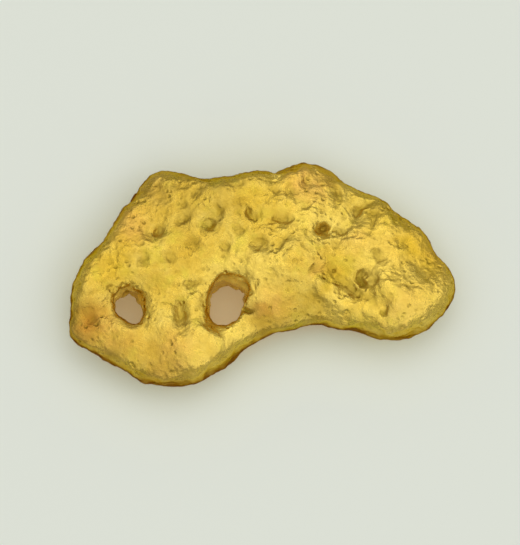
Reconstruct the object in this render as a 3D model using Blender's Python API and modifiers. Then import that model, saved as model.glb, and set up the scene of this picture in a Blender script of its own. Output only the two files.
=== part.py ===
"""A natural gold nugget: one flat, water-worn, kidney-shaped flake of gold, 9.4 mm long.

It is modelled as one solid: a slab with rounded edges that swells, thins and bends a little, with
two holes worn through its left lobe, and pits, grooves and a fold in its upper face. It lies on its
underside, +Z up, with its length along X and its origin under the middle of its box. It is shaped
at one unit to the millimetre, and then brought to its real size in metres.
"""

import bmesh
import bpy
import numpy as np
from mathutils import Matrix, Vector, noise

# Lengths are in millimetres and turns in degrees, up to to_real_size().
METRES_PER_MM = 0.001

# The slab that the nugget is worked from.
THICKNESS = 1.16
EDGE_RADIUS = 0.42
EDGE_STEPS = 3
CURVE_STEPS = 6

# Its outline seen from above, anticlockwise from the tip of the left lobe.
OUTLINE = [
    (-4.71, -1.12), (-4.55, -1.73), (-4.00, -2.09), (-3.45, -2.45), (-2.88, -2.69), (-2.28, -2.75),
    (-1.64, -2.67), (-1.02, -2.39), (-0.40, -1.97), (0.14, -1.77), (0.66, -1.60), (1.40, -1.42),
    (2.16, -1.56), (2.98, -1.67), (3.66, -1.52), (4.18, -1.18), (4.58, -0.72), (4.66, -0.13),
    (4.40, 0.47), (3.98, 1.13), (3.38, 1.62), (2.76, 2.04), (2.22, 2.38), (1.76, 2.70),
    (1.16, 2.81), (0.42, 2.71), (-0.34, 2.54), (-1.08, 2.43), (-1.88, 2.54), (-2.54, 2.48),
    (-3.12, 1.99), (-3.76, 1.24), (-4.24, 0.52), (-4.59, -0.32),
]

# The two holes: the centre, how far the waist reaches from it every 45 degrees from +X, and the
# lean of the axis along X and Y for each millimetre of height.
HOLES = [
    {
        "centre": (-3.18, -0.88),
        "reach": (0.29, 0.31, 0.35, 0.36, 0.32, 0.31, 0.34, 0.31),
        "lean": (0.10, 0.05),
    },
    {
        "centre": (-0.76, -0.72),
        "reach": (0.39, 0.55, 0.52, 0.47, 0.39, 0.54, 0.59, 0.42),
        "lean": (-0.05, 0.05),
    },
]
HOLE_SIDES = 24
HOLE_LEVELS = 6
HOLE_FLARE = 0.22

# Swellings of the slab, and lifts of its middle plane: (x, y, radius along x, along y, amount).
SWELLINGS = [
    (0.85, 0.30, 1.10, 1.00, 0.32),
    (-1.70, -1.70, 1.10, 0.80, 0.26),
    (3.05, -0.70, 0.90, 0.70, 0.24),
    (-0.90, 1.60, 0.90, 0.60, 0.10),
    (-2.60, 2.20, 0.90, 0.60, -0.30),
    (4.10, 0.40, 0.80, 0.80, -0.28),
    (-4.30, -1.40, 0.70, 0.70, -0.26),
    (1.30, -1.00, 0.90, 0.50, -0.14),
    (2.30, 1.70, 0.80, 0.60, -0.12),
]
BENDS = [
    (3.60, -0.10, 1.60, 1.80, 0.20),
    (-0.20, 0.60, 1.90, 1.50, 0.10),
    (-4.20, -0.90, 1.20, 1.20, 0.16),
]

# The underside curves up to the rim: this high, from about this far inside it.
UNDER_CURVE = 0.26
UNDER_CURVE_WIDTH = 0.60

# Lumps on the underside that it rests on: (x, y, radius, height).
UNDER_LUMPS = [(-1.60, -1.60, 0.70, 0.10), (-1.25, 1.50, 0.75, 0.26), (2.85, -0.45, 0.75, 0.24)]

# Lumps on the upper face: (x, y, radius, height).
TOP_LUMPS = [
    (0.82, 0.16, 0.62, 0.08), (2.34, 0.66, 0.38, 0.07), (-1.50, -1.86, 0.55, 0.07),
    (-1.66, -0.80, 0.20, 0.06), (-0.12, 0.10, 0.40, 0.05), (3.10, -0.88, 0.50, 0.08),
    (3.80, -0.60, 0.40, 0.06), (-2.60, 0.35, 0.45, 0.06), (-2.40, -1.20, 0.28, 0.06),
    (-0.95, 1.95, 0.35, 0.05), (1.35, 1.45, 0.35, 0.06), (0.35, 1.55, 0.35, 0.04),
    (0.20, -0.75, 0.30, 0.05),
]

# Dishes and pits in the upper face: (x, y, half width, half length, turn, depth).
TOP_PITS = [
    (-3.30, -0.72, 0.56, 0.52, 20, 0.17), (-0.76, -0.72, 0.66, 0.78, -18, 0.09),
    (3.98, 0.24, 0.42, 0.55, 30, 0.08), (-3.76, 0.17, 0.28, 0.40, -25, 0.06),
    (-2.51, 0.99, 0.14, 0.14, 0, 0.16), (-1.91, 1.60, 0.10, 0.10, 0, 0.08),
    (-1.89, 1.21, 0.14, 0.11, 0, 0.13), (-1.66, 0.60, 0.15, 0.18, 10, 0.09),
    (-2.28, 0.32, 0.15, 0.14, 0, 0.10), (-2.90, 0.22, 0.11, 0.15, 0, 0.07),
    (-0.92, 0.56, 0.11, 0.11, 0, 0.10), (-0.08, 0.62, 0.26, 0.13, -8, 0.13),
    (-1.23, 1.16, 0.19, 0.17, 30, 0.21), (-1.03, 1.46, 0.15, 0.13, 0, 0.15),
    (-0.52, 0.96, 0.14, 0.09, 12, 0.07), (0.45, 1.22, 0.26, 0.14, 0, 0.15),
    (0.36, 1.98, 0.12, 0.11, 0, 0.10), (0.73, 1.96, 0.12, 0.12, 0, 0.09),
    (1.15, 2.15, 0.14, 0.12, 0, 0.10), (1.85, 1.87, 0.14, 0.13, 0, 0.12),
    (1.49, 1.02, 0.17, 0.15, 15, 0.25), (1.94, 0.93, 0.12, 0.12, 0, 0.10),
    (1.87, 0.62, 0.10, 0.14, 0, 0.10), (1.29, 0.00, 0.12, 0.10, 0, 0.08),
    (2.75, 1.33, 0.15, 0.14, 20, 0.12), (3.56, 1.14, 0.19, 0.13, -35, 0.13),
    (2.82, 0.36, 0.15, 0.14, 0, 0.09), (3.46, 0.64, 0.17, 0.15, 0, 0.09),
    (2.52, -0.16, 0.15, 0.12, 0, 0.16), (-1.65, -0.32, 0.15, 0.11, 0, 0.09),
    (-4.05, -1.22, 0.14, 0.12, 0, 0.11), (2.97, -1.08, 0.12, 0.11, 0, 0.10),
]

# Grooves, and ridges where the depth is below zero: (points, half width, depth).
TOP_GROOVES = [
    ([(-0.47, 1.62), (-0.12, 1.22)], 0.11, 0.15),
    ([(0.67, 0.88), (0.52, 0.72), (0.35, 0.56)], 0.11, 0.10),
    ([(0.30, 2.30), (0.34, 2.60)], 0.10, 0.12),
    ([(1.66, 0.13), (1.70, -0.13)], 0.11, 0.12),
    ([(2.30, 1.26), (2.38, 1.52), (2.76, 1.76)], 0.13, 0.14),
    ([(2.52, -0.16), (2.74, -0.46)], 0.11, 0.10),
    ([(1.94, -0.28), (2.38, -0.68), (3.00, -0.85)], 0.15, 0.20),
    ([(1.44, -0.35), (1.81, -0.79), (2.24, -0.94)], 0.17, -0.13),
    ([(-1.96, -0.85), (-1.96, -1.36)], 0.15, 0.17),
    ([(-3.75, -1.10), (-4.40, -1.00)], 0.14, 0.09),
    ([(-1.20, -1.20), (-1.04, -1.42)], 0.13, 0.12),
    ([(-0.34, -1.12), (-0.15, -1.00)], 0.12, 0.10),
    ([(0.10, -1.36), (0.06, -1.70)], 0.11, 0.10),
]

# Dents and pits scattered over the sides and the underside, from wide to narrow: (how many, least
# radius, greatest radius, depth as a share of the radius).
SCATTERED_PITS = [(20, 0.40, 0.80, 0.20), (16, 0.20, 0.34, 0.42), (26, 0.11, 0.19, 0.62)]
SCATTER_SEED = 11
# A face counts as a side or as the underside where its normal rises less than this.
SIDE_NORMAL = 0.25

# The relief of each face fades out over the rim, this far past mid height in parts of the thickness.
FACE_LEVEL = 0.15

# Random relief: (size of the lumps, height) for each layer, and how much of it each face has.
RELIEF_LAYERS = [(1.50, 0.060), (0.60, 0.034), (0.26, 0.014)]
TOP_SHARE = 0.8
UNDER_SHARE = 1.5
# The pits and grooves waver by this much, over this length.
WAVER = 0.07
WAVER_LENGTH = 0.40
WAVER_SEEDS = (5, 6, 7)

# How much is worn off the lowest lumps of the underside, to leave the flats that it rests on.
WORN_OFF = 0.07
NEARLY_FLAT = 0.004

VOXEL = 0.05
SMOOTHING_STEPS = 7
TRIANGLES = 9400


def add_object(name, data, collection):
    made = bpy.data.objects.new(name, data)
    collection.objects.link(made)
    return made


def take_mesh(source, name):
    """The mesh that the source's modifiers or bevel give. The source itself is removed."""
    graph = bpy.context.evaluated_depsgraph_get()
    mesh = bpy.data.meshes.new_from_object(source.evaluated_get(graph))
    mesh.name = name
    bpy.data.objects.remove(source)
    return mesh


def make_slab(collection):
    """The outline as a slab with round edges, its caps welded on."""
    curve = bpy.data.curves.new("outline", "CURVE")
    curve.dimensions = "2D"
    curve.fill_mode = "BOTH"
    curve.resolution_u = CURVE_STEPS
    curve.extrude = THICKNESS / 2 - EDGE_RADIUS
    curve.bevel_depth = EDGE_RADIUS
    curve.bevel_resolution = EDGE_STEPS
    curve.offset = -EDGE_RADIUS
    spline = curve.splines.new("BEZIER")
    spline.bezier_points.add(len(OUTLINE) - 1)
    for point, (x, y) in zip(spline.bezier_points, OUTLINE):
        point.co = (x, y, 0)
        point.handle_left_type = "AUTO"
        point.handle_right_type = "AUTO"
    spline.use_cyclic_u = True
    mesh = take_mesh(add_object("outline", curve, collection), "slab")
    shape = bmesh.new()
    shape.from_mesh(mesh)
    bmesh.ops.remove_doubles(shape, verts=shape.verts, dist=0.0001)
    bmesh.ops.recalc_face_normals(shape, faces=shape.faces)
    shape.to_mesh(mesh)
    shape.free()
    return add_object("slab", mesh, collection)


def make_hole_cutter(hole, collection):
    """A leaning plug, narrowest at its waist, with the hole's own uneven section."""
    shape = bmesh.new()
    bmesh.ops.create_cone(
        shape, cap_ends=True, segments=HOLE_SIDES, radius1=1, radius2=1, depth=2 * THICKNESS
    )
    upright = [edge for edge in shape.edges if abs(edge.verts[0].co.z - edge.verts[1].co.z) > 1]
    bmesh.ops.subdivide_edges(shape, edges=upright, cuts=HOLE_LEVELS - 1)
    corners = np.arange(len(hole["reach"])) * 360 / len(hole["reach"])
    lean_x, lean_y = hole["lean"]
    for vertex in shape.verts:
        x, y, z = vertex.co
        angle = np.degrees(np.arctan2(y, x)) % 360
        reach = np.interp(angle, corners, hole["reach"], period=360)
        reach *= 1 + HOLE_FLARE * min(1, abs(2 * z / THICKNESS)) ** 2
        vertex.co = (x * reach + lean_x * z, y * reach + lean_y * z, z)
    shape.transform(Matrix.Translation((*hole["centre"], 0)))
    mesh = bpy.data.meshes.new("hole_cutter")
    shape.to_mesh(mesh)
    shape.free()
    return add_object("hole_cutter", mesh, collection)


def add_remesh(blank):
    remesh = blank.modifiers.new("even", "REMESH")
    remesh.mode = "VOXEL"
    remesh.voxel_size = VOXEL


def bore(slab, cutters):
    """The slab with its holes cut, as an even mesh with its corners softened."""
    add_remesh(slab)
    for cutter in cutters:
        cut = slab.modifiers.new("hole", "BOOLEAN")
        cut.operation = "DIFFERENCE"
        cut.object = cutter
    add_remesh(slab)
    soften = slab.modifiers.new("soften", "SMOOTH")
    soften.factor = 0.5
    soften.iterations = SMOOTHING_STEPS
    return take_mesh(slab, "bored_slab")


def read_vectors(mesh, name):
    values = np.empty(3 * len(mesh.vertices))
    mesh.vertices.foreach_get(name, values)
    return values.reshape(-1, 3)


def write_points(mesh, points):
    mesh.vertices.foreach_set("co", points.astype(np.float32).ravel())
    mesh.update()


def from_centre(x, y, centre_x, centre_y, half_width, half_length, turn=0):
    """Distance from the centre of an oval, which is 1 on the oval itself."""
    angle = np.radians(turn)
    along = (x - centre_x) * np.cos(angle) + (y - centre_y) * np.sin(angle)
    across = (y - centre_y) * np.cos(angle) - (x - centre_x) * np.sin(angle)
    return np.hypot(along / half_width, across / half_length)


def swell(distance):
    return np.exp(-(distance**2))


def hollow(distance):
    """Like swell, but with a flatter floor and a steeper side."""
    return np.exp(-(distance**3))


def ease(share):
    """0 below 0, 1 above 1, and a smooth rise between."""
    share = np.clip(share, 0, 1)
    return share * share * (3 - 2 * share)


def from_line(x, y, points):
    """Distance in plan to the nearest stretch of a line."""
    nearest = np.full(len(x), np.inf)
    for (x0, y0), (x1, y1) in zip(points[:-1], points[1:]):
        run = (x1 - x0) ** 2 + (y1 - y0) ** 2
        share = np.clip(((x - x0) * (x1 - x0) + (y - y0) * (y1 - y0)) / run, 0, 1)
        away = np.hypot(x - x0 - share * (x1 - x0), y - y0 - share * (y1 - y0))
        nearest = np.minimum(nearest, away)
    return nearest


def noise_at(points, size, seed):
    """Smooth noise from about -1 to 1 whose lumps are of the given size."""
    shift = Vector((1.1 * seed, 2.3 * seed, 3.7 * seed))
    return np.array([noise.noise(Vector(point) / size + shift) for point in points])


def upper_relief(x, y):
    height = np.zeros(len(x))
    for centre_x, centre_y, radius, rise in TOP_LUMPS:
        height += rise * swell(from_centre(x, y, centre_x, centre_y, radius, radius))
    for *oval, depth in TOP_PITS:
        height -= depth * hollow(from_centre(x, y, *oval))
    for line, half_width, depth in TOP_GROOVES:
        height -= depth * swell(from_line(x, y, line) / half_width)
    return height


def under_relief(x, y):
    """How far the underside is raised: up towards the rim, and down at its lumps."""
    rim_distance = from_line(x, y, OUTLINE + OUTLINE[:1])
    height = UNDER_CURVE * swell(rim_distance / UNDER_CURVE_WIDTH)
    for centre_x, centre_y, radius, drop in UNDER_LUMPS:
        height -= drop * swell(from_centre(x, y, centre_x, centre_y, radius, radius))
    return height


def scattered_relief(points, normals):
    """Dents and pits scattered over the sides and the underside."""
    rng = np.random.default_rng(SCATTER_SEED)
    places = np.flatnonzero(normals[:, 2] < SIDE_NORMAL)
    height = np.zeros(len(points))
    for count, least, greatest, share in SCATTERED_PITS:
        for centre in points[rng.choice(places, count)]:
            radius = rng.uniform(least, greatest)
            away = np.linalg.norm(points - centre, axis=1)
            height -= share * radius * hollow(away / radius)
    return height


def wear(mesh):
    """The slab swollen and bent, and then the relief of each face."""
    points = read_vectors(mesh, "co")
    normals = read_vectors(mesh, "normal")
    x, y = points[:, 0].copy(), points[:, 1].copy()
    wavers = [WAVER * noise_at(points, WAVER_LENGTH, seed) for seed in WAVER_SEEDS]
    wavering = points + np.stack(wavers, axis=1)
    level = points[:, 2] / THICKNESS
    upper = ease((level + FACE_LEVEL) / (0.5 + FACE_LEVEL))
    lower = ease((FACE_LEVEL - level) / (0.5 + FACE_LEVEL))
    share = np.where(level > 0, 1 + (TOP_SHARE - 1) * upper, 1 + (UNDER_SHARE - 1) * lower)
    relief = scattered_relief(wavering, normals)
    for seed, (size, height) in enumerate(RELIEF_LAYERS):
        relief += share * height * noise_at(points, size, seed)
    for *oval, gain in SWELLINGS:
        points[:, 2] *= 1 + gain * swell(from_centre(x, y, *oval))
    for *oval, lift in BENDS:
        points[:, 2] += lift * swell(from_centre(x, y, *oval))
    points[:, 2] += upper * upper_relief(wavering[:, 0], wavering[:, 1])
    points[:, 2] += lower * under_relief(x, y)
    points += normals * relief[:, None]
    write_points(mesh, points)


def unfold(mesh, collection):
    """An even mesh of the same shape, without the folds that the relief left in tight corners."""
    blank = add_object("folded", mesh, collection)
    add_remesh(blank)
    return take_mesh(blank, "unfolded")


def wear_flats(mesh):
    """The lowest lumps of the underside worn to one plane, which comes to z = 0."""
    points = read_vectors(mesh, "co")
    floor = points[:, 2].min() + WORN_OFF
    points[:, 2] = np.maximum(points[:, 2] - floor, 0)
    write_points(mesh, points)


def reduce(worn, collection):
    """The worn mesh with few enough triangles for a solid, most of them where it curves."""
    blank = add_object("worn", worn, collection)
    fewer = blank.modifiers.new("fewer", "DECIMATE")
    fewer.ratio = TRIANGLES / sum(len(face.vertices) - 2 for face in worn.polygons)
    fewer.use_collapse_triangulate = True
    return take_mesh(blank, "nugget")


def to_real_size(mesh):
    """Brings the mesh to metres, with its box centred over the origin and its flats at z = 0."""
    points = read_vectors(mesh, "co")
    middle = (points.min(axis=0) + points.max(axis=0)) / 2
    points[:, :2] -= middle[:2]
    points[points[:, 2] < NEARLY_FLAT, 2] = 0
    write_points(mesh, points * METRES_PER_MM)


def make_gold():
    gold = bpy.data.materials.new("gold")
    gold.use_nodes = True
    shader = gold.node_tree.nodes["Principled BSDF"]
    shader.inputs["Base Color"].default_value = (0.86, 0.56, 0.13, 1)
    shader.inputs["Metallic"].default_value = 1
    shader.inputs["Roughness"].default_value = 0.38
    return gold


def main():
    for old in list(bpy.data.objects):
        bpy.data.objects.remove(old)
    parts = bpy.data.collections.new("gold_nugget")
    cutters = bpy.data.collections.new("cutters")
    for collection in (parts, cutters):
        bpy.context.scene.collection.children.link(collection)
    plugs = [make_hole_cutter(hole, cutters) for hole in HOLES]
    mesh = bore(make_slab(parts), plugs)
    for plug in plugs:
        bpy.data.objects.remove(plug)
    wear(mesh)
    mesh = unfold(mesh, parts)
    wear_flats(mesh)
    mesh = reduce(mesh, parts)
    to_real_size(mesh)
    mesh.materials.clear()
    mesh.materials.append(make_gold())
    mesh.shade_smooth()
    add_object("nugget", mesh, parts)


main()
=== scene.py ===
import math

import bpy
import numpy as np
from mathutils import Matrix, Vector, kdtree, noise


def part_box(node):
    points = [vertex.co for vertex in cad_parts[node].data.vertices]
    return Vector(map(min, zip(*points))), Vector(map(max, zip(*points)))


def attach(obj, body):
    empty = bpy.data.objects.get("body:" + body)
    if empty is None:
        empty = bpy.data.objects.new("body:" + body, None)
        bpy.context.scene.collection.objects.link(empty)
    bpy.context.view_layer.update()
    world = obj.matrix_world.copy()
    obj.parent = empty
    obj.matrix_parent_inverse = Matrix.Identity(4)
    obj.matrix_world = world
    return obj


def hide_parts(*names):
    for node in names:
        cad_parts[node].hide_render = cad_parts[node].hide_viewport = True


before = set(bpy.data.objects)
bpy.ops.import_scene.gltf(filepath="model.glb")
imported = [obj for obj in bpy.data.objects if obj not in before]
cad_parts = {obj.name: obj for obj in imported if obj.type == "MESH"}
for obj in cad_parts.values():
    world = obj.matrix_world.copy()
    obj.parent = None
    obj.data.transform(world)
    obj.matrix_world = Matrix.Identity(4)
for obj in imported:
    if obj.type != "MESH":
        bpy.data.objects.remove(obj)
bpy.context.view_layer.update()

# Lengths and places on the nugget are in millimetres. Its surface is shaped at one unit to the
# millimetre, and brought to metres at the end.
METRES_PER_MM = 0.001

# ------------------------------------------------------------------------ form: values
# The solid is remeshed at this spacing, and its facets are then smoothed away.
VOXEL = 0.0385
SMOOTHING_FACTOR = 0.5
SMOOTHING_STEPS = 90

# Each smooth change below is a pair: where it starts and how wide it is. These two go by the
# upward part of the normal, at which the upper face begins and the side ends.
UPPER_CHANGE = (0.15, 0.35)
SIDE_CHANGE = (0.08, 0.42)

# Pits in the upper face: (x, y, half width, half length, turn in degrees, depth).
TOP_PITS = [
    (-2.49, 0.96, 0.13, 0.13, 0, 0.055), (-1.89, 1.57, 0.09, 0.09, 0, 0.06),
    (-1.87, 1.18, 0.13, 0.09, 0, 0.08), (-1.64, 0.57, 0.14, 0.16, 10, 0.05),
    (-2.26, 0.29, 0.14, 0.12, 0, 0.055), (-2.88, 0.19, 0.09, 0.13, 0, 0.08),
    (-0.90, 0.53, 0.11, 0.10, 0, 0.04), (-0.06, 0.59, 0.24, 0.10, -8, 0.015),
    (-1.21, 1.13, 0.19, 0.14, 30, 0.045), (-1.01, 1.43, 0.14, 0.12, 0, 0.07),
    (-0.50, 0.93, 0.13, 0.08, 12, 0.07), (0.47, 1.19, 0.24, 0.10, 0, 0.085),
    (0.38, 1.95, 0.11, 0.10, 0, 0.03), (0.75, 1.93, 0.11, 0.11, 0, 0.02),
    (1.17, 2.12, 0.13, 0.11, 0, 0.03), (1.87, 1.84, 0.13, 0.12, 0, 0.075),
    (1.51, 0.99, 0.18, 0.14, 15, 0.18), (1.96, 0.90, 0.11, 0.11, 0, 0.11),
    (1.89, 0.59, 0.09, 0.13, 0, 0.04), (1.31, -0.03, 0.11, 0.09, 0, 0.07),
    (2.77, 1.30, 0.14, 0.13, 20, 0.07), (2.84, 0.33, 0.14, 0.13, 0, 0.09),
    (3.48, 0.61, 0.16, 0.14, 0, 0.03), (2.41, -0.26, 0.15, 0.12, 0, 0.20),
    (-1.63, -0.35, 0.14, 0.11, 0, 0.09), (-4.03, -1.25, 0.13, 0.11, 0, 0.05),
    (2.99, -1.11, 0.12, 0.11, 0, 0.12),
]
# Grooves, and ridges where the depth is below zero: (points, half width, depth).
TOP_GROOVES = [
    ([(-0.45, 1.59), (-0.10, 1.19)], 0.09, 0.11),
    ([(0.69, 0.85), (0.54, 0.69), (0.37, 0.53)], 0.09, 0.02),
    ([(0.32, 2.27), (0.36, 2.57)], 0.12, -0.12),
    ([(1.68, 0.10), (1.72, -0.16)], 0.09, 0.06),
    ([(2.32, 1.23), (2.40, 1.49), (2.78, 1.73)], 0.11, 0.10),
    ([(2.41, -0.26), (2.63, -0.56)], 0.09, 0.13),
    ([(1.70, -0.10), (2.20, -0.52), (2.75, -0.88)], 0.16, 0.08),
    ([(1.40, -0.42), (1.80, -0.80), (2.26, -0.97)], 0.26, -0.13),
    ([(-1.94, -0.88), (-1.94, -1.39)], 0.14, 0.06),
    ([(-0.35, -1.17), (-0.10, -1.05)], 0.11, 0.16),
]
# The solid has these pits and grooves, and this share of their depth is cut on top of that.
CUT_SHARE = 0.50
# The width of a pit's bowl, and the place and width of the lip beaten up round it, as shares
# of its half width, and the lip's height as a share of the depth.
BOWL = 0.80
LIP_PLACE = 1.3
LIP_WIDTH = 0.25
LIP = 0.06
# Each pit has this many smaller lobes round its edge. Their distance from its middle, their
# size, how much they are stretched and their depth are shares of the pit's own, drawn at
# random between these.
LOBES = 5
LOBES_SEED = 8
LOBE_REACH = (0.5, 1.1)
LOBE_SIZE = (0.40, 0.75)
LOBE_STRETCH = (0.7, 1.3)
LOBE_DEPTH = (0.5, 0.9)
# The share by which a groove is narrower and shallower at its ends, and the power of the
# distance from its middle by which it gets so.
TAPER = 0.55
TAPER_POWER = 1.5
# A pit or groove this deep is full of dirt and painted shade.
DIRT_AND_SHADE_PIT_DEPTH = 0.16

# The holes: (x, y, radius).
HOLES = [(-3.16, -0.91, 0.50), (-0.74, -0.75, 0.75)]
# The change from a hole's wall to the rest of the surface, in hole radii from its middle.
WALL_CHANGE = (1, 0.3)
# Places where a hole's wall is pushed outwards, or inwards below zero: (hole, way in degrees,
# push on the lower wall, push on the shoulder).
PUSHES = [
    (0, -45, 0.17, 0.05), (0, 130, -0.07, 0.02),
    (1, -40, -0.01, -0.15), (1, 250, 0.07, 0.05), (1, 85, -0.10, 0.00),
]
# The heights between which the wall turns into the shoulder.
SHOULDER = (0.90, 1.25)
# The change from a full push to none, in hole radii.
PUSH_CHANGE = (0.9, 0.6)

# Places where the surface is drawn to one side: (x, y, radius, shift in x, shift in y).
DRAWN = [
    (-3.16, -0.91, 0.80, -0.08, 0.09), (-0.74, -0.75, 0.90, -0.06, 0.03),
    (-4.40, -1.55, 0.45, -0.09, -0.07), (-2.75, 2.30, 0.60, -0.04, 0.05),
    (3.50, 1.45, 0.70, -0.03, -0.02), (0.30, -1.75, 0.55, -0.055, 0.12),
    (1.45, -1.52, 0.45, 0.00, 0.13), (2.25, -1.60, 0.32, 0.02, 0.09),
    (-3.95, 0.78, 0.42, 0.11, -0.11), (0.34, 2.62, 0.30, 0.00, -0.15),
    (0.95, -1.60, 0.30, -0.01, 0.03), (-0.38, -2.08, 0.30, -0.04, 0.05),
    (4.68, -0.52, 0.38, 0.10, -0.02), (3.54, 1.40, 0.22, -0.03, -0.05),
    (-3.28, 1.53, 0.25, -0.03, 0.03), (-4.66, -1.15, 0.28, 0.03, 0.00),
    (4.10, -1.40, 0.50, 0.05, -0.07), (-3.60, -2.40, 0.40, 0.03, 0.06),
    (-2.10, -2.82, 0.80, 0.00, -0.06), (4.45, 0.38, 0.40, -0.05, -0.04),
    (3.80, 1.10, 0.30, 0.03, 0.04), (2.45, 2.08, 0.35, -0.02, -0.05),
    (1.40, 2.65, 0.50, 0.01, 0.04), (2.95, -1.70, 0.35, 0.00, -0.04),
]
# Places where the solid's shape is softened: (x, y, radius). It is softened less and less
# outwards, by the distance in radii, and more and more upwards, by the height.
SOFTENED = [(2.05, -0.60, 0.85), (-0.28, 1.39, 0.35)]
SOFTENED_ROUNDS = 200
SOFTENED_CHANGE = (0.4, 0.6)
SOFTENED_UPWARDS = (0.5, 0.3)

# Smooth random shifts, as layers of (reach, length): of the whole surface sideways, of the
# edges of pits, grooves and stains, and of the walls of the holes.
SHIFTS = [(0.055, 0.55), (0.028, 0.22), (0.010, 0.10)]
SHIFTS_SEED = 61
WAVERS = [(0.120, 0.27), (0.065, 0.11)]
WAVERS_SEED = 21
HOLE_WAVERS = [(0.11, 0.42), (0.05, 0.18)]
HOLE_WAVERS_SEED = 70

# Random pitting: (size, level of the noise where a hollow begins, width of its edge, depth).
PITTING = [(0.36, 0.10, 0.34, 0.017), (0.18, 0.14, 0.28, 0.012), (0.10, 0.16, 0.26, 0.010)]
PITTING_SEED = 50
# How crowded it is: the mean, how much that varies, over what length, and the noise's seed.
PITTING_CROWD = (0.45, 0.9, 1.1, 31)
LEAST_PITTING = 0.08
# How much more crowded it is over an oval of the upper face: (x, y, half width, half length).
PITTED_OVAL = (0.60, 1.00, 3.40, 1.25)
PITTED_SHARE = 0.45

# Scattered small pits: (how many, least radius, greatest radius, depth as share of radius).
SMALL_PITS = [(40, 0.07, 0.11, 0.24), (300, 0.045, 0.07, 0.36)]
SMALL_PITS_SEED = 4
# How crowded they are, in the same four numbers as the pitting.
SMALL_PITS_CROWD = (0.25, 1.6, 0.9, 33)
LEAST_SMALL_PITS = 0.03
# How far from its middle a small pit still moves the surface, in its radii.
SMALL_PIT_REACH = 1.7

# Rounded lumps with creases between them: (size, height), and their mean height as a share.
LUMPS = [(0.85, 0.034), (0.40, 0.017), (0.19, 0.011), (0.10, 0.009)]
LUMPS_SEED = 40
LUMPS_MEAN = 0.3
# How rounded their creases are.
CREASE = 0.010
# Overlapping shallow dents: (spacing, depth), and their mean height as a share.
DENTS = [(0.75, 0.026), (0.36, 0.009)]
DENTS_SEED = 3
DENTS_MEAN = 0.35

# A point is hollow or raised against the surface that this many rounds of averaging leave,
# each of which moves a point this share of the way to its neighbours' mean.
LOCAL_ROUNDS = 40
AVERAGING = 0.5
# The depth below that surface at which a hollow is full of dirt and painted shade.
DIRT_AND_SHADE_DEPTH = 0.075

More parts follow.
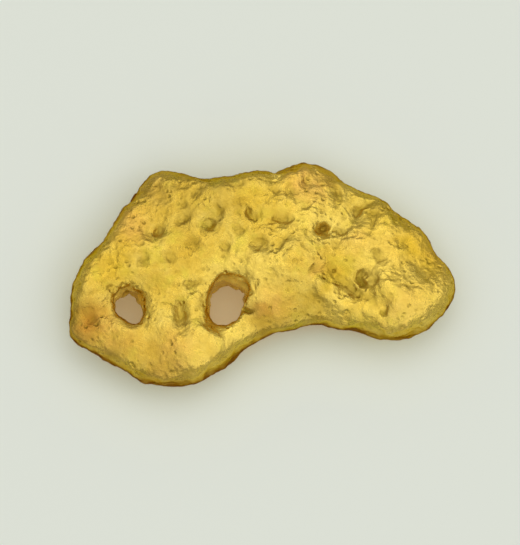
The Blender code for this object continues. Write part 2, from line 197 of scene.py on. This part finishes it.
# ----------------------------------------------------------------------- finish: values
# Stains and changes of colour, and spots of painted light and shade, by the name of their value:
# (x, y, radius, strength).
SPOTS = {
    "tint": [
        (1.15, 2.15, 0.50, 0.8), (-3.15, 0.95, 0.42, 0.7), (0.15, -0.85, 0.42, 0.9),
        (4.00, 0.30, 0.55, 0.5), (3.20, 0.52, 0.45, 0.35), (-3.60, -1.45, 0.60, 0.7),
        (-2.15, -2.20, 0.60, 0.7), (2.32, 0.72, 0.35, 0.4), (1.35, 0.02, 0.25, 0.5),
        (3.45, -0.92, 0.55, 0.4), (-2.70, 2.10, 0.55, 0.45),
    ],
    # Broad spots of painted shade.
    "broad_shade": [
        (-2.50, -2.15, 0.55, 0.50), (-3.40, -1.55, 0.50, 0.40), (-2.75, 2.05, 0.60, 0.60),
        (-3.40, 0.45, 0.55, 0.35), (-2.50, -0.10, 0.45, 0.30), (-1.70, 0.75, 0.50, 0.30),
        (0.15, -1.40, 0.40, 0.80), (-1.60, 2.00, 0.60, 0.45), (-0.80, 1.85, 0.55, 0.40),
        (-4.30, -0.90, 0.50, 0.55), (-4.35, -1.50, 0.40, 0.60), (-1.80, 1.20, 0.50, 0.25),
        (0.20, 2.05, 0.45, 0.25),
    ],
    "deep": [
        (3.72, 0.45, 0.42, 0.8), (4.10, 0.05, 0.40, 0.7), (-3.50, -0.02, 0.42, 0.5),
        (2.85, 1.25, 0.55, 0.5), (-3.35, 0.62, 0.50, 0.35), (1.90, -0.20, 0.50, 0.5),
        (2.80, -0.65, 0.50, 0.5), (3.60, 0.75, 0.40, 0.4), (0.10, 1.70, 0.60, 0.3),
    ],
    "shade": [
        (1.05, -1.10, 0.38, 0.45), (-0.05, -1.18, 0.30, 0.6), (0.60, -1.28, 0.30, 0.4),
        (-2.80, -2.45, 0.32, 0.2), (-3.60, -2.05, 0.32, 0.3), (-4.35, -1.35, 0.34, 0.7),
        (-2.10, -2.55, 0.35, 0.4), (-1.95, 1.18, 0.35, 0.15), (-0.65, 1.35, 0.35, 0.2),
        (2.95, 1.42, 0.35, 0.25), (3.60, -0.50, 0.30, 0.15), (-4.10, -1.45, 0.30, 0.25),
        (2.27, -0.48, 0.22, 0.30), (2.52, -0.20, 0.20, 0.40),
    ],
    # Places where the painted shade of the side is lifted, which leaves painted highlights on the
    # rim.
    "side_shade_lifted": [
        (0.34, 2.45, 0.20, 0.9), (3.00, -1.55, 0.35, 0.6), (2.90, 1.75, 0.50, 0.6),
        (3.60, 1.20, 0.45, 0.6), (4.40, 0.40, 0.45, 0.4), (-4.30, 0.30, 0.60, 0.5),
        (2.20, 2.20, 0.40, 0.4), (3.80, -1.50, 0.40, 0.4),
    ],
    # Spots of painted highlight.
    "light": [
        (2.80, 0.00, 0.50, 0.7), (3.55, -0.20, 0.50, 0.8), (0.05, -0.05, 0.45, 0.6),
        (1.00, 1.20, 0.50, 0.6), (1.90, 1.15, 0.45, 0.5), (2.85, 0.60, 0.50, 0.3),
        (2.80, -0.75, 0.45, 0.4), (-0.05, -0.70, 0.35, 0.6), (-0.90, -1.45, 0.40, 0.5),
        (-0.75, 0.10, 0.35, 0.6), (2.80, 1.15, 0.40, 0.3), (0.34, 2.40, 0.24, 0.9),
        (1.82, -0.78, 0.28, 0.7), (1.75, -1.12, 0.30, 0.5), (-0.78, -0.72, 0.75, 0.7),
        (-3.20, -0.85, 0.60, 0.4), (4.35, -0.55, 0.40, 0.6), (3.75, -1.15, 0.45, 0.6),
        (2.60, -1.25, 0.35, 0.4), (-1.60, -2.35, 0.50, 0.5), (-0.60, -1.75, 0.40, 0.5),
    ],
    "rust": [(-4.10, -1.25, 0.36, 0.75), (-3.95, -1.60, 0.45, 0.35), (0.10, -1.05, 0.22, 0.5)],
}

# The noises of the finish: (size, detail, roughness, seed).
TONE_NOISE = (0.8, 5, 0.65, 1.0)
GREEN_NOISE = (0.45, 3, 0.55, 21.0)
BLOTCH_NOISE = (0.5, 4, 0.65, 12.0)
SPECK_NOISE = (0.6, 3, 0.6, 17.0)
DIRT_AND_SHADE_NOISE = (0.12, 3, 0.6, 7.0)
GLOSS_NOISE = (0.35, 4, 0.6, 5.0)
GRAIN_NOISE = (0.11, 4, 0.65, 9.0)
# The gold's own tones along a noise: (place on the noise, colour).
TONES = [
    (0.32, (0.62, 0.390, 0.040)),
    (0.45, (0.69, 0.460, 0.057)),
    (0.58, (0.75, 0.535, 0.089)),
    (0.70, (0.78, 0.580, 0.125)),
]
# How much of a finish a noise or a distance lets through: (place on it, share).
GREEN_SHARE = [(0.50, 0), (0.66, 0.75)]
BROKEN_SHARE = [(0.35, 0.35), (0.60, 1)]
SIDE_SHADE_SHARE = [(0.3, 0.72), (0.7, 1.0)]
SPECK_SHARE = [(0.10, 1), (0.34, 0)]
SPECK_CROWD = [(0.42, 0), (0.60, 1)]
DIRT_AND_SHADE_SHARE = [(0.35, 0.55), (0.60, 0.95)]
GREENISH = (0.66, 0.510, 0.052)
TINTED = (0.76, 0.39, 0.090)
# Colours laid on by the values of their names, in this order: painted shade, a deeper tone,
# painted highlight and painted shade.
STAINS_AND_PAINTED_SHADING = [
    ("broad_shade", (0.50, 0.315, 0.035)),
    ("deep", (0.68, 0.425, 0.018)),
    ("light", (0.90, 0.645, 0.110)),
    ("shade", (0.30, 0.18, 0.018)),
]
RUSTY = (0.46, 0.19, 0.022)
# Painted brown shade on the steep side.
SIDE_SHADE_COLOUR = (0.25, 0.098, 0.022)
# Dark specks in the middle of small cells: their spacing, colour and strength.
SPECK_SPACING = 0.17
SPECK_COLOUR = (0.32, 0.21, 0.012)
SPECK_STRENGTH = 0.45
# The walls of the holes get a lighter gold that is less metallic: painted light in the holes.
LIT_WALL_COLOUR = (0.85, 0.60, 0.10)
WALL_STRENGTH = 0.9
# What is raised is rubbed bright.
RUBBED = (0.92, 0.70, 0.19)
RUBBED_STRENGTH = 0.35
# Dirt and painted shade in the hollows.
DIRT_AND_SHADE = (0.30, 0.20, 0.008)
# What tints the gold where it is seen at a glancing angle: darker and browner than gold's
# own edge, as painted shade on the rims.
EDGE_SHADE_TINT = (0.38, 0.25, 0.12)
# The dirt and painted shade of the hollows, and the painted light of the hole walls, take
# this much away from the metal.
DULLED_METAL = 0.60
# The roughness goes from one value to the other between these places on its noise, and dirt
# and rubbing add to it.
GLOSS_RANGE = (0.35, 0.65)
ROUGHNESS = (0.20, 0.38)
DIRT_ROUGHNESS = 0.35
RUBBED_ROUGHNESS = -0.10
# The height of the grain, and how deep a speck is as a share of it.
GRAIN_HEIGHT = 0.03
SPECK_DEPTH = 0.6

# ------------------------------------------------------------------------ stage: values
# The floor's half width, in metres, and its roughness and gloss.
FLOOR_HALF_WIDTH = 0.7
FLOOR_ROUGHNESS = 0.9
FLOOR_GLOSS = 0.1
# The floor changes with the share of its surroundings that is open within this distance, in
# millimetres. Where little is open, near the gold and under its holes, its colour is a darker,
# warmer painted shade, and it glows with painted light in place of light scattered in it and
# thrown off the gold.
OPEN_DISTANCE = 2
OPEN_SAMPLES = 8
FLOOR_COLOURS_AND_SHADE = [
    (0.25, (0.58, 0.51, 0.37)),
    (0.45, (0.72, 0.75, 0.60)),
    (0.95, (0.825, 0.860, 0.768)),
]
FLOOR_LIGHT = [
    (0.25, (0.235, 0.17, 0.08)),
    (0.45, (0.145, 0.14, 0.085)),
    (0.80, (0.072, 0.072, 0.052)),
    (0.97, (0, 0, 0)),
]
# The light of the studio, from level and anything lower to straight up: (height, grey).
STUDIO = [(0.0, 0.26), (0.35, 0.33), (0.62, 0.70), (0.85, 0.96), (1.0, 1.01)]
# The lamps: (name, azimuth and elevation in degrees, radiance, width in metres), and how far
# off they are, in metres.
LAMPS = [
    ("fill", 85, 42, 0.8, 0.16),
    ("key", 172, 66, 0.70, 0.20),
    ("front", 20, 42, 0.75, 0.16),
]
LAMP_DISTANCE = 0.30

# Where the camera stands round the nugget, in degrees, and how far off, in metres.
CAMERA_AZIMUTH = -15
CAMERA_ELEVATION = 78.6
CAMERA_DISTANCE = 0.2
# The frame, and the share of its width that the nugget takes.
FRAME_SIZE = (520, 545)
NUGGET_SHARE = 0.74
# The sensor's width, in millimetres, and the nearest and farthest that is seen, in metres.
SENSOR = 36
CLIPPING = (0.01, 2)


# -------------------------------------------------------------------------------- mesh
def read_vectors(mesh, name):
    values = np.empty(3 * len(mesh.vertices))
    mesh.vertices.foreach_get(name, values)
    return values.reshape(-1, 3)


def write_points(mesh, points):
    mesh.vertices.foreach_set("co", points.astype(np.float32).ravel())
    mesh.update()


def add_values(mesh, name, values):
    attribute = mesh.attributes.new(name, "FLOAT", "POINT")
    attribute.data.foreach_set("value", values.astype(np.float32))


def add_object(name, data):
    placed = bpy.data.objects.new(name, data)
    bpy.context.scene.collection.objects.link(placed)
    return placed


def averaged(mesh, points, rounds, share):
    """The points moved towards the average of their neighbours, over and over."""
    ends = np.empty(2 * len(mesh.edges), dtype=np.int64)
    mesh.edges.foreach_get("vertices", ends)
    first, second = ends.reshape(-1, 2).T
    count = len(points)
    neighbours = np.bincount(first, minlength=count) + np.bincount(second, minlength=count)
    mean = points.copy()
    for _ in range(rounds):
        for axis in range(3):
            values = mean[:, axis]
            total = np.bincount(first, values[second], count)
            total += np.bincount(second, values[first], count)
            mean[:, axis] += share * (total / neighbours - values)
    return mean


# --------------------------------------------------------------------------- distances
def ease(share):
    """0 below 0, 1 above 1, and a smooth rise between."""
    share = np.clip(share, 0, 1)
    return share * share * (3 - 2 * share)


def rise(value, start, width):
    """0 up to the start, 1 from the width past it, and a smooth rise between."""
    return ease((value - start) / width)


def away_from(points, centre_x, centre_y, radius):
    """Distance in plan from a place, in radii."""
    return np.hypot(points[:, 0] - centre_x, points[:, 1] - centre_y) / radius


def from_oval(points, centre_x, centre_y, half_width, half_length, turn=0):
    """Distance in plan from the centre of an oval, which is 1 on the oval itself."""
    x, y = points[:, 0], points[:, 1]
    angle = np.radians(turn)
    along = (x - centre_x) * np.cos(angle) + (y - centre_y) * np.sin(angle)
    across = (y - centre_y) * np.cos(angle) - (x - centre_x) * np.sin(angle)
    return np.hypot(along / half_width, across / half_length)


def from_line(points, line):
    """Distance in plan to the nearest stretch of a line, and how far along the line that is."""
    x, y = points[:, 0], points[:, 1]
    nearest = np.full(len(points), np.inf)
    along = np.zeros(len(points))
    for step, ((x0, y0), (x1, y1)) in enumerate(zip(line[:-1], line[1:])):
        run = (x1 - x0) ** 2 + (y1 - y0) ** 2
        share = np.clip(((x - x0) * (x1 - x0) + (y - y0) * (y1 - y0)) / run, 0, 1)
        away = np.hypot(x - x0 - share * (x1 - x0), y - y0 - share * (y1 - y0))
        along = np.where(away < nearest, (step + share) / (len(line) - 1), along)
        nearest = np.minimum(nearest, away)
    return nearest, along


# ------------------------------------------------------------------------------- noise
def noise_at(points, size, seed):
    """Smooth noise from about -1 to 1 whose lumps are of the given size."""
    shift = Vector((1.1 * seed, 2.3 * seed, 3.7 * seed))
    return np.array([noise.noise(Vector(point) / size + shift) for point in points])


def dents_at(points, spacing, seed):
    """1 on the ridges between dents that touch, and 0 in the middle of each."""
    shift = Vector((3.1 * seed, 1.7 * seed, 2.9 * seed))
    return np.array([noise.voronoi(Vector(p) / spacing + shift)[0][0] for p in points]) ** 2


def lumps_at(points, size, seed):
    """Rounded lumps of the given size, near 0 in the creases and 1 at the most."""
    return np.sqrt(noise_at(points, size, seed) ** 2 + CREASE)


def crowd_at(points, mean, spread, length, seed):
    """How crowded something is: a mean that varies from place to place with a noise."""
    return mean + spread * noise_at(points, length, seed)


def wander(points, layers, seed):
    """A smooth random shift of every point."""
    shift = np.zeros_like(points)
    for layer, (reach, length) in enumerate(layers):
        for axis in range(3):
            shift[:, axis] += reach * noise_at(points, length, seed + 3 * layer + axis)
    return shift


# -------------------------------------------------------------------------------- form
def even_surface():
    """The solid's own shape as an even, fine mesh with its facets smoothed away."""
    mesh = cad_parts["nugget"].data.copy()
    mesh.transform(Matrix.Scale(1 / METRES_PER_MM, 4))
    blank = add_object("blank", mesh)
    remesh = blank.modifiers.new("even", "REMESH")
    remesh.mode = "VOXEL"
    remesh.voxel_size = VOXEL
    soften = blank.modifiers.new("soften", "SMOOTH")
    soften.factor = SMOOTHING_FACTOR
    soften.iterations = SMOOTHING_STEPS
    graph = bpy.context.evaluated_depsgraph_get()
    fine = bpy.data.meshes.new_from_object(blank.evaluated_get(graph))
    fine.name = "nugget_surface"
    bpy.data.objects.remove(blank)
    return fine


def softened(mesh):
    """The surface's points, smoothed more in the places that are softened."""
    points = read_vectors(mesh, "co")
    soft = np.zeros(len(points))
    for place in SOFTENED:
        soft = np.maximum(soft, 1 - rise(away_from(points, *place), *SOFTENED_CHANGE))
    soft *= rise(points[:, 2], *SOFTENED_UPWARDS)
    return averaged(mesh, points, SOFTENED_ROUNDS, AVERAGING * soft)


def pit(distance):
    """The bowl of a pit, with a rounded shoulder and a low lip round it."""
    bowl = np.exp(-((distance / BOWL) ** 2))
    return bowl - LIP * np.exp(-(((distance - LIP_PLACE) / LIP_WIDTH) ** 2))


def lobed_pit(rng, points, centre_x, centre_y, half_width, half_length, turn):
    """A pit that is 1 at its deepest, with smaller lobes round its edge."""
    deepest = pit(from_oval(points, centre_x, centre_y, half_width, half_length, turn))
    for _ in range(LOBES):
        way = rng.uniform(0, 2 * np.pi)
        reach = rng.uniform(*LOBE_REACH)
        share = rng.uniform(*LOBE_SIZE)
        oval = (
            centre_x + reach * half_width * np.cos(way),
            centre_y + reach * half_length * np.sin(way),
            half_width * share * rng.uniform(*LOBE_STRETCH),
            half_length * share * rng.uniform(*LOBE_STRETCH),
            rng.uniform(0, 180),
        )
        deepest = np.maximum(deepest, rng.uniform(*LOBE_DEPTH) * pit(from_oval(points, *oval)))
    return deepest


def groove_at(points, line, half_width):
    """A groove that is 1 at its deepest, narrower and shallower towards its ends."""
    away, along = from_line(points, line)
    fullness = 1 - TAPER * np.abs(2 * along - 1) ** TAPER_POWER
    return fullness * pit(away / (half_width * fullness))


def pits_and_grooves(points):
    """The height of the pits and grooves, and how full of dirt and painted shade they are."""
    rng = np.random.default_rng(LOBES_SEED)
    hollows = [(lobed_pit(rng, points, *place), depth) for *place, depth in TOP_PITS]
    hollows += [
        (groove_at(points, line, half_width), depth) for line, half_width, depth in TOP_GROOVES
    ]
    height = np.zeros(len(points))
    dirt_and_shade = np.zeros(len(points))
    for hollow, depth in hollows:
        height -= depth * hollow
        dirt_and_shade = np.maximum(dirt_and_shade, min(depth / DIRT_AND_SHADE_PIT_DEPTH, 1) * hollow)
    return height, dirt_and_shade


def pitting(points, upper):
    """Irregular hollows that the noise leaves, thickest over the middle of the upper face."""
    oval = np.exp(-(from_oval(points, *PITTED_OVAL) ** 2))
    crowd = crowd_at(points, *PITTING_CROWD) + PITTED_SHARE * oval * upper
    crowd = np.clip(crowd, LEAST_PITTING, 1)
    height = np.zeros(len(points))
    for layer, (size, start, width, depth) in enumerate(PITTING):
        height -= depth * crowd * rise(noise_at(points, size, PITTING_SEED + layer), start, width)
    return height


def small_pits(points):
    """The height of the scattered small pits."""
    rng = np.random.default_rng(SMALL_PITS_SEED)
    tree = kdtree.KDTree(len(points))
    for index, point in enumerate(points):
        tree.insert(point, index)
    tree.balance()
    height = np.zeros(len(points))
    likely = np.clip(crowd_at(points, *SMALL_PITS_CROWD), LEAST_SMALL_PITS, 1)
    likely /= likely.sum()
    for count, least, greatest, share in SMALL_PITS:
        for place in rng.choice(len(points), count, p=likely):
            radius = rng.uniform(least, greatest)
            for _, index, away in tree.find_range(points[place], SMALL_PIT_REACH * radius):
                height[index] -= share * radius * float(pit(away / radius))
    return height


def fine_relief(points, wavering, upper):
    """The height of all that is finer than the pits and grooves."""
    relief = small_pits(wavering) + pitting(points, upper)
    for layer, (spacing, depth) in enumerate(DENTS):
        relief += depth * (dents_at(points, spacing, DENTS_SEED + layer) - DENTS_MEAN)
    for layer, (size, height) in enumerate(LUMPS):
        relief += height * (lumps_at(points, size, LUMPS_SEED + layer) - LUMPS_MEAN)
    return relief


def side_and_wall(points, normals):
    """How much each point belongs to the outer side, and how much to the wall of a hole."""
    side = 1 - rise(normals[:, 2], *SIDE_CHANGE)
    wall = np.zeros(len(points))
    for hole in HOLES:
        outside = rise(away_from(points, *hole), *WALL_CHANGE)
        wall = np.maximum(wall, side * (1 - outside))
        side *= outside
    return side, wall


def hole_pushes(points):
    """The shift in plan that gives each hole's wall its own slope on each side."""
    low, high = SHOULDER
    height = rise(points[:, 2], low, high - low)
    shift = np.zeros((len(points), 2))
    for hole, way, on_wall, on_shoulder in PUSHES:
        centre_x, centre_y, radius = HOLES[hole]
        out = points[:, :2] - (centre_x, centre_y)
        away = np.hypot(out[:, 0], out[:, 1])
        way = np.radians(way)
        facing = np.clip((out[:, 0] * np.cos(way) + out[:, 1] * np.sin(way)) / away, 0, 1)
        share = facing**2 * (1 - rise(away / radius, *PUSH_CHANGE))
        push = share * (on_wall + (on_shoulder - on_wall) * height)
        shift += out * (push / away)[:, None]
    return shift


def drawn_aside(points, wall):
    """The points after every sideways shift."""
    points = points.copy()
    for *place, shift_x, shift_y in DRAWN:
        share = np.exp(-(away_from(points, *place) ** 2))
        points[:, 0] += shift_x * share
        points[:, 1] += shift_y * share
    wavering_wall = wall[:, None] * wander(points, HOLE_WAVERS, HOLE_WAVERS_SEED)[:, :2]
    points[:, :2] += hole_pushes(points) + wavering_wall
    points[:, :2] += wander(points, SHIFTS, SHIFTS_SEED)[:, :2]
    return points


def blots(points, spots):
    """Soft spots, from 0 to 1, for the stains and for the painted light and shade."""
    clear = np.ones(len(points))
    for *place, strength in spots:
        clear *= 1 - strength * np.exp(-(away_from(points, *place) ** 2))
    return 1 - clear


def make_surface():
    """The nugget's whole surface, with the values that its finish goes by."""
    mesh = even_surface()
    points = softened(mesh)
    write_points(mesh, points)
    normals = read_vectors(mesh, "normal")
    wavering = points + wander(points, WAVERS, WAVERS_SEED)
    upper = rise(normals[:, 2], *UPPER_CHANGE)
    height, dirt_and_shade = pits_and_grooves(wavering)
    relief = fine_relief(points, wavering, upper)
    side, wall = side_and_wall(points, normals)

    points = drawn_aside(points, wall)
    points[:, 2] += CUT_SHARE * upper * height
    points += normals * relief[:, None]
    points[:, 2] = np.maximum(points[:, 2], 0)
    write_points(mesh, points)
    inward = averaged(mesh, points, LOCAL_ROUNDS, AVERAGING) - points
    depth = (inward * read_vectors(mesh, "normal")).sum(axis=1)
    write_points(mesh, points * METRES_PER_MM)

    # The hollows take dirt and painted shade, and what is raised is rubbed bright.
    add_values(mesh, "hollow", np.clip(np.maximum(upper * dirt_and_shade, depth / DIRT_AND_SHADE_DEPTH), 0, 1))
    add_values(mesh, "raised", np.clip(-depth / DIRT_AND_SHADE_DEPTH, 0, 1))
    add_values(mesh, "side", side)
    add_values(mesh, "wall", wall)
    for name, spots in SPOTS.items():
        add_values(mesh, name, blots(wavering, spots))
    mesh.shade_smooth()
    return add_object("nugget_surface", mesh)


# -------------------------------------------------------------------------------- nodes
class Nodes:
    """A node tree, with a short call for each kind of node that is used here."""

    def __init__(self, tree):
        self.tree = tree

    def add(self, kind):
        return self.tree.nodes.new(kind)

    def feed(self, source, socket):
        """Sets a socket to a number or colour, or links another node's output to it."""
        if isinstance(source, tuple):
            socket.default_value = (*source, 1)
        elif isinstance(source, (int, float)):
            socket.default_value = source
        else:
            self.tree.links.new(source, socket)

    def ramp(self, source, stops):
        """Colours, or shares as greys, along a value."""
        node = self.add("ShaderNodeValToRGB")
        elements = node.color_ramp.elements
        while len(elements) < len(stops):
            elements.new(0.5)
        for element, (position, colour) in zip(elements, stops):
            if not isinstance(colour, tuple):
                colour = (colour, colour, colour)
            element.position = position
            element.color = (*colour, 1)
        self.feed(source, node.inputs["Fac"])
        return node.outputs["Color"]

    def mix(self, factor, under, over):
        """One colour laid over another."""
        node = self.add("ShaderNodeMix")
        node.data_type = "RGBA"
        # The node's colours are its inputs 6 and 7, and its output 2.
        for source, index in ((factor, 0), (under, 6), (over, 7)):
            self.feed(source, node.inputs[index])
        return node.outputs[2]

    def calculate(self, operation, *sources):
        node = self.add("ShaderNodeMath")
        node.operation = operation
        for source, socket in zip(sources, node.inputs):
            self.feed(source, socket)
        return node.outputs[0]

    def value(self, name):
        """One of the values on the surface."""
        node = self.add("ShaderNodeAttribute")
        node.attribute_name = name
        return node.outputs["Fac"]

    def place(self):
        """The place on the object, in millimetres."""
        coords = self.add("ShaderNodeTexCoord")
        scale = self.add("ShaderNodeVectorMath")
        scale.operation = "SCALE"
        scale.inputs["Scale"].default_value = 1 / METRES_PER_MM
        self.feed(coords.outputs["Object"], scale.inputs[0])
        return scale.outputs[0]

    def noise(self, place, size, detail, roughness, seed):
        node = self.add("ShaderNodeTexNoise")
        node.noise_dimensions = "4D"
        node.inputs["W"].default_value = seed
        node.inputs["Scale"].default_value = 1 / size
        node.inputs["Detail"].default_value = detail
        node.inputs["Roughness"].default_value = roughness
        self.feed(place, node.inputs["Vector"])
        return node.outputs["Fac"]


# ------------------------------------------------------------------------------- finish
def gold_stains_and_painted_shading(nodes, place):
    """The gold's tones and stains, with painted light and shade in spots and on its side."""
    base = nodes.ramp(nodes.noise(place, *TONE_NOISE), TONES)
    green = nodes.ramp(nodes.noise(place, *GREEN_NOISE), GREEN_SHARE)
    base = nodes.mix(green, base, GREENISH)
    blotch = nodes.noise(place, *BLOTCH_NOISE)
    broken = nodes.ramp(blotch, BROKEN_SHARE)
    base = nodes.mix(nodes.calculate("MULTIPLY", nodes.value("tint"), broken), base, TINTED)
    for name, colour in STAINS_AND_PAINTED_SHADING:
        base = nodes.mix(nodes.value(name), base, colour)
    base = nodes.mix(nodes.calculate("MULTIPLY", nodes.value("rust"), broken), base, RUSTY)
    # The side takes painted brown shade, lifted in places and broken up by the blotches.
    side_shade_left = nodes.calculate("SUBTRACT", 1, nodes.value("side_shade_lifted"))
    side = nodes.calculate("MULTIPLY", nodes.value("side"), side_shade_left)
    side = nodes.calculate("MULTIPLY", side, nodes.ramp(blotch, SIDE_SHADE_SHARE))
    return nodes.mix(side, base, SIDE_SHADE_COLOUR)


def specks(nodes, place):
    """Small round specks, crowded in places."""
    cells = nodes.add("ShaderNodeTexVoronoi")
    cells.inputs["Scale"].default_value = 1 / SPECK_SPACING
    nodes.feed(place, cells.inputs["Vector"])
    speck = nodes.ramp(cells.outputs["Distance"], SPECK_SHARE)
    crowd = nodes.ramp(nodes.noise(place, *SPECK_NOISE), SPECK_CROWD)
    return nodes.calculate("MULTIPLY", speck, crowd)


def gloss(nodes, place, dirt_and_shade, raised):
    """The roughness: uneven, more in dirt and less where the gold is rubbed."""
    rough = nodes.add("ShaderNodeMapRange")
    for name, number in zip(("From Min", "From Max"), GLOSS_RANGE):
        rough.inputs[name].default_value = number
    for name, number in zip(("To Min", "To Max"), ROUGHNESS):
        rough.inputs[name].default_value = number
    nodes.feed(nodes.noise(place, *GLOSS_NOISE), rough.inputs["Value"])
    rougher = nodes.calculate("MULTIPLY_ADD", dirt_and_shade, DIRT_ROUGHNESS, rough.outputs[0])
    return nodes.calculate("MULTIPLY_ADD", raised, RUBBED_ROUGHNESS, rougher)


def grain(nodes, place, speck):
    """The bump of the finest grain."""
    bump = nodes.add("ShaderNodeBump")
    bump.inputs["Strength"].default_value = 1.0
    bump.inputs["Distance"].default_value = GRAIN_HEIGHT * METRES_PER_MM
    fine = nodes.noise(place, *GRAIN_NOISE)
    height = nodes.calculate("MULTIPLY_ADD", speck, -SPECK_DEPTH, fine)
    nodes.feed(height, bump.inputs["Height"])
    return bump.outputs[0]


def make_gold():
    gold = bpy.data.materials.new("gold")
    gold.use_nodes = True
    nodes = Nodes(gold.node_tree)
    shader = gold.node_tree.nodes["Principled BSDF"]
    shader.inputs["Specular Tint"].default_value = (*EDGE_SHADE_TINT, 1)
    place = nodes.place()
    speck = specks(nodes, place)
    wall = nodes.value("wall")
    raised = nodes.value("raised")
    # Dirt and painted shade in the hollows, in patches.
    patchy = nodes.ramp(nodes.noise(place, *DIRT_AND_SHADE_NOISE), DIRT_AND_SHADE_SHARE)
    dirt_and_shade = nodes.calculate("MULTIPLY", nodes.value("hollow"), patchy)

    base = gold_stains_and_painted_shading(nodes, place)
    base = nodes.mix(nodes.calculate("MULTIPLY", speck, SPECK_STRENGTH), base, SPECK_COLOUR)
    # Painted light on the walls of the holes.
    base = nodes.mix(nodes.calculate("MULTIPLY", wall, WALL_STRENGTH), base, LIT_WALL_COLOUR)
    base = nodes.mix(nodes.calculate("MULTIPLY", raised, RUBBED_STRENGTH), base, RUBBED)
    base = nodes.mix(dirt_and_shade, base, DIRT_AND_SHADE)
    metal = nodes.calculate("MULTIPLY_ADD", dirt_and_shade, -DULLED_METAL, 1.0)
    metal = nodes.calculate("MULTIPLY_ADD", wall, -DULLED_METAL, metal)
    nodes.feed(base, shader.inputs["Base Color"])
    nodes.feed(metal, shader.inputs["Metallic"])
    nodes.feed(gloss(nodes, place, dirt_and_shade, raised), shader.inputs["Roughness"])
    nodes.feed(grain(nodes, place, speck), shader.inputs["Normal"])
    return gold


# -------------------------------------------------------------------------------- stage
def make_floor():
    """A pale floor with painted warm shade and a painted glow near the gold and under its holes.
    """
    mesh = bpy.data.meshes.new("floor")
    corners = [(-1, -1), (1, -1), (1, 1), (-1, 1)]
    points = [(FLOOR_HALF_WIDTH * x, FLOOR_HALF_WIDTH * y, 0) for x, y in corners]
    mesh.from_pydata(points, [], [(0, 1, 2, 3)])
    floor = add_object("floor", mesh)
    material = bpy.data.materials.new("floor")
    material.use_nodes = True
    nodes = Nodes(material.node_tree)
    shader = material.node_tree.nodes["Principled BSDF"]
    shader.inputs["Roughness"].default_value = FLOOR_ROUGHNESS
    shader.inputs["Specular IOR Level"].default_value = FLOOR_GLOSS
    shader.inputs["Emission Strength"].default_value = 1
    openness = nodes.add("ShaderNodeAmbientOcclusion")
    openness.samples = OPEN_SAMPLES
    openness.inputs["Distance"].default_value = OPEN_DISTANCE * METRES_PER_MM
    # A darker, warmer colour and a glow where it is closed in: painted shade and painted light.
    for name, stops in (("Base Color", FLOOR_COLOURS_AND_SHADE), ("Emission Color", FLOOR_LIGHT)):
        nodes.feed(nodes.ramp(openness.outputs["AO"], stops), shader.inputs[name])
    mesh.materials.append(material)


def make_world():
    """The soft light of the studio, bright from above and dim from the side and below."""
    world = bpy.data.worlds.new("studio")
    world.use_nodes = True
    nodes = Nodes(world.node_tree)
    coords = nodes.add("ShaderNodeTexCoord")
    split = nodes.add("ShaderNodeSeparateXYZ")
    nodes.feed(coords.outputs["Generated"], split.inputs[0])
    light = nodes.ramp(split.outputs["Z"], STUDIO)
    nodes.feed(light, world.node_tree.nodes["Background"].inputs["Color"])
    bpy.context.scene.world = world


def direction(azimuth, elevation):
    """The way out to a place round the nugget: azimuth 0 is in front, and 90 to the right."""
    a, e = math.radians(azimuth), math.radians(elevation)
    return Vector((math.sin(a) * math.cos(e), -math.cos(a) * math.cos(e), math.sin(e)))


def make_lamps():
    """Soft round lamps, all at one distance and turned to the nugget."""
    for name, azimuth, elevation, radiance, width in LAMPS:
        lamp = bpy.data.lights.new(name, "AREA")
        lamp.shape = "DISK"
        lamp.size = width
        # The power is the radiance times pi times the area.
        lamp.energy = radiance * math.pi * math.pi * (width / 2) ** 2
        placed = add_object(name, lamp)
        back = direction(azimuth, elevation)
        placed.location = back * LAMP_DISTANCE
        placed.rotation_euler = back.to_track_quat("Z", "Y").to_euler()


def make_camera():
    """A camera that looks at the middle of the nugget, with the nugget's length level."""
    data = bpy.data.cameras.new("camera")
    camera = add_object("camera", data)
    low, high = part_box("nugget")
    centre = (low + high) / 2
    back = direction(CAMERA_AZIMUTH, CAMERA_ELEVATION)
    right = Vector((1, 0, 0))
    right = (right - back * right.dot(back)).normalized()
    up = back.cross(right)
    turn = Matrix((right, up, back)).transposed().to_4x4()
    camera.matrix_world = Matrix.Translation(centre + back * CAMERA_DISTANCE) @ turn
    frame_width = (high.x - low.x) / NUGGET_SHARE
    frame_height = frame_width * FRAME_SIZE[1] / FRAME_SIZE[0]
    data.sensor_width = SENSOR
    data.lens = data.sensor_width * CAMERA_DISTANCE / frame_height
    data.clip_start, data.clip_end = CLIPPING
    bpy.context.scene.camera = camera


make_camera()
surface = make_surface()
surface.data.materials.clear()
surface.data.materials.append(make_gold())
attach(surface, "root")
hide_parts("nugget")

make_floor()
make_world()
make_lamps()
bpy.context.scene.view_settings.view_transform = "Standard"
